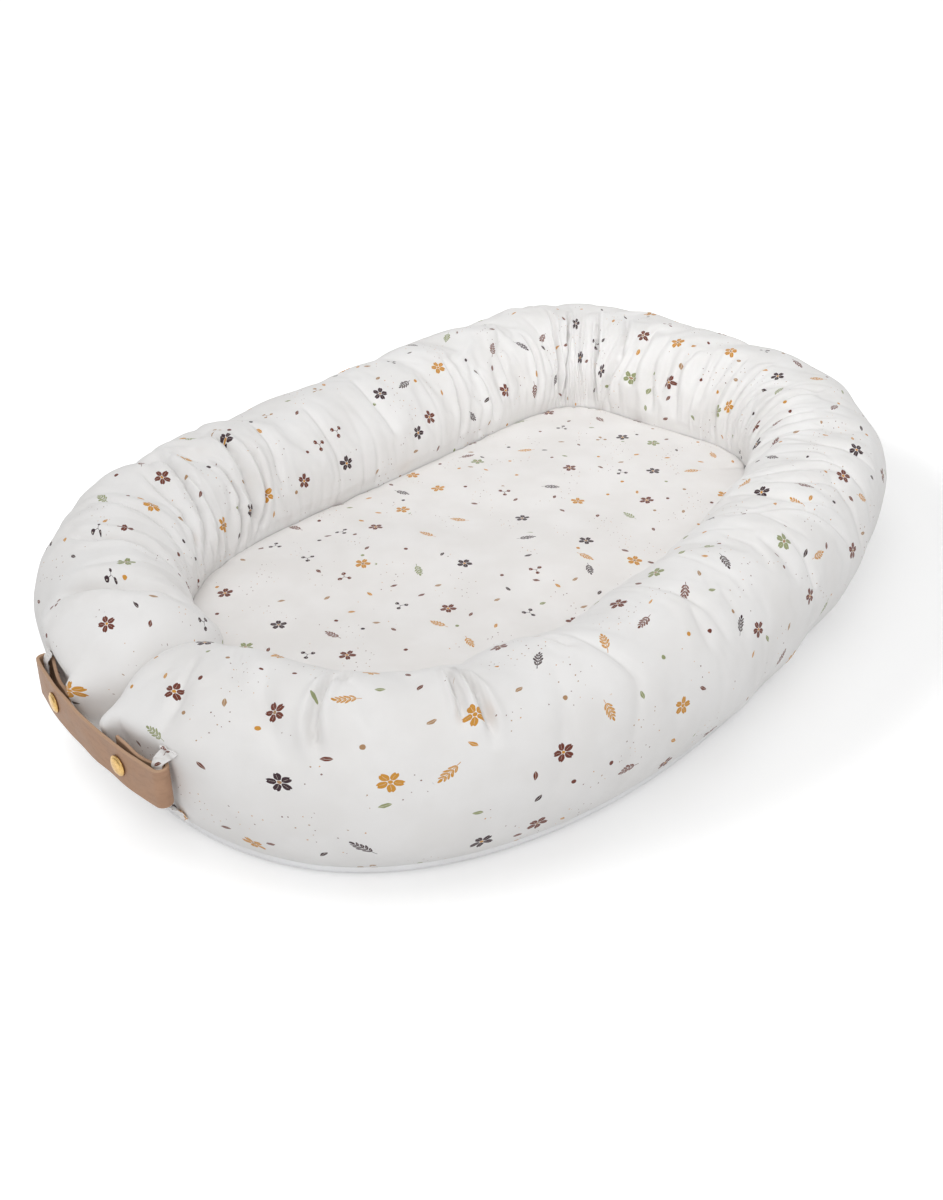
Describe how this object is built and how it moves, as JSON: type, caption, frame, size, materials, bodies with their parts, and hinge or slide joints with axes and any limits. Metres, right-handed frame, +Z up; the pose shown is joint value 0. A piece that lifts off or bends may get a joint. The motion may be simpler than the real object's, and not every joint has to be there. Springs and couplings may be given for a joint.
{
  "type": "infant lounger",
  "caption": "Oval infant lounger: a stuffed printed cotton roll round a padded base, its two ends held together at the foot by a leather strap with snap fasteners.",
  "frame": {"origin": "on the floor, under the middle of the lounger's bounding box", "axes": "+Y from the foot end with the strap to the head end, +Z up, +X to the right seen from the foot end"},
  "size_m": [0.6052, 0.9064, 0.1503],
  "materials": {
    "printed_cotton": "off-white woven cotton with a scattered small leaf print",
    "plain_lining": "plain pale woven cotton",
    "fibre_filling": "loose polyester fibre",
    "foam": "soft open-cell foam",
    "tan_leather": "smooth matt vegetable-tanned leather",
    "snap_brass": "domed, lightly polished",
    "zip_tape": "woven tape with a nylon coil",
    "zip_metal": "dull nickel plate"
  },
  "bodies": {
    "nest": {"bolster_cover": "printed_cotton", "bolster_filling": "fibre_filling", "base_panel": "plain_lining", "mattress_pad": "foam", "mattress_top_panel": "printed_cotton", "belt_loop_left": "printed_cotton", "belt_loop_right": "printed_cotton", "zip_tape_left": "zip_tape", "zip_tape_right": "zip_tape", "zip_stop_foot": "zip_metal", "zip_stop_head": "zip_metal"},
    "strap": {"strap_band": "tan_leather", "snap_cap_left": "snap_brass", "snap_cap_right": "snap_brass", "snap_socket_left": "snap_brass", "snap_socket_right": "snap_brass"},
    "tail_left": {"strap_tail_left": "tan_leather", "snap_stud_left": "snap_brass", "snap_rivet_left": "snap_brass"},
    "tail_right": {"strap_tail_right": "tan_leather", "snap_stud_right": "snap_brass", "snap_rivet_right": "snap_brass"},
    "slider": {"zip_slider": "zip_metal"},
    "pull": {"zip_pull": "zip_metal"}
  },
  "joints": [
    {"name": "strap_pull", "type": "slide", "parent": "nest", "child": "strap", "axis": [-0.1398, -0.9902, 0], "range_m": [0, 0.012], "stiffness_N_per_m": 400, "deforming": ["belt_loop_left", "belt_loop_right"]},
    {"name": "snap_left_release", "type": "hinge", "parent": "strap", "child": "tail_left", "pos_m": [-0.10156, -0.41294, 0.064], "axis": [0, 0, 1], "range_deg": [0, 6]},
    {"name": "snap_right_release", "type": "hinge", "parent": "strap", "child": "tail_right", "pos_m": [0.06742, -0.43679, 0.064], "axis": [0, 0, -1], "range_deg": [0, 6]},
    {"name": "zip_slide", "type": "slide", "parent": "nest", "child": "slider", "axis": [0, -1, 0], "range_m": [0, 0.388]},
    {"name": "zip_pull_swing", "type": "hinge", "parent": "slider", "child": "pull", "pos_m": [-0.01105, 0.20578, 0.00445], "axis": [-1, 0, 0], "range_deg": [0, 170]}
  ]
}
